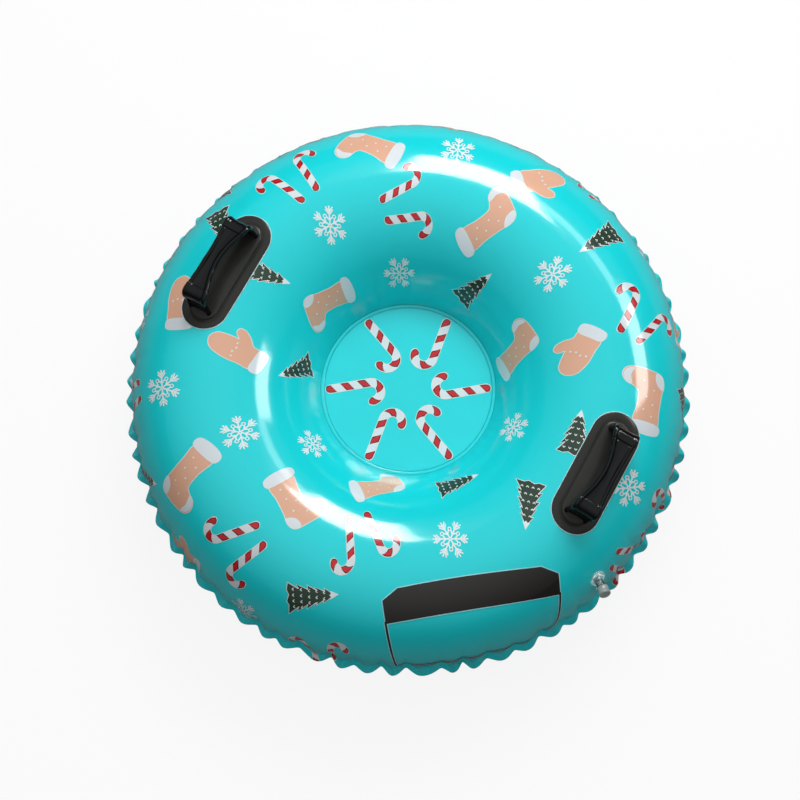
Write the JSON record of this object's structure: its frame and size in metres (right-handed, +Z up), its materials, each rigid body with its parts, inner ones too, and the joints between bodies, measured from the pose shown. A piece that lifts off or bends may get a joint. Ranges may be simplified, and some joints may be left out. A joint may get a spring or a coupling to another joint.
{
  "type": "snow tube",
  "caption": "Round inflatable snow tube with a sunken seat floor, a ruffled welded rim, two side grab handles and a push-in inflation valve.",
  "frame": {"origin": "on the ground, at the centre of the ring that the tube rests on", "axes": "+Z up, +X towards the right handle, the one near the valve; the two handles lie on the X axis"},
  "size_m": [0.932, 0.932, 0.3141],
  "materials": {
    "top_film": "glossy blown-up vinyl film",
    "bottom_film": "plain vinyl film",
    "handle_pad": "satin black vinyl",
    "handle_grip": "glossy black soft vinyl",
    "clear_vinyl": "clear soft vinyl",
    "milky_vinyl": "milky grey soft vinyl"
  },
  "bodies": {
    "tube": {"top_sheet": "top_film", "bottom_sheet": "bottom_film", "right_handle_pad": "handle_pad", "right_handle_grip": "handle_grip", "left_handle_pad": "handle_pad", "left_handle_grip": "handle_grip", "valve_flange": "clear_vinyl"},
    "stem": {"valve_stem": "clear_vinyl", "valve_strap": "clear_vinyl"},
    "plug": {"valve_plug": "milky_vinyl"},
    "flap": {"valve_flap": "clear_vinyl"}
  },
  "joints": [
    {"name": "valve_press", "type": "slide", "parent": "tube", "child": "stem", "axis": [0.6431, -0.5685, 0.5131], "range_m": [-0.0112, 0]},
    {"name": "plug_pull", "type": "slide", "parent": "stem", "child": "plug", "axis": [0.6431, -0.5685, 0.5131], "range_m": [0, 0.014]},
    {"name": "flap_open", "type": "hinge", "parent": "stem", "child": "flap", "pos_m": [0.41277, -0.12469, 0.20095], "axis": [0.5193, -0.1687, -0.8378], "range_deg": [0, 70], "stiffness_Nm_per_rad": 0.0005}
  ]
}
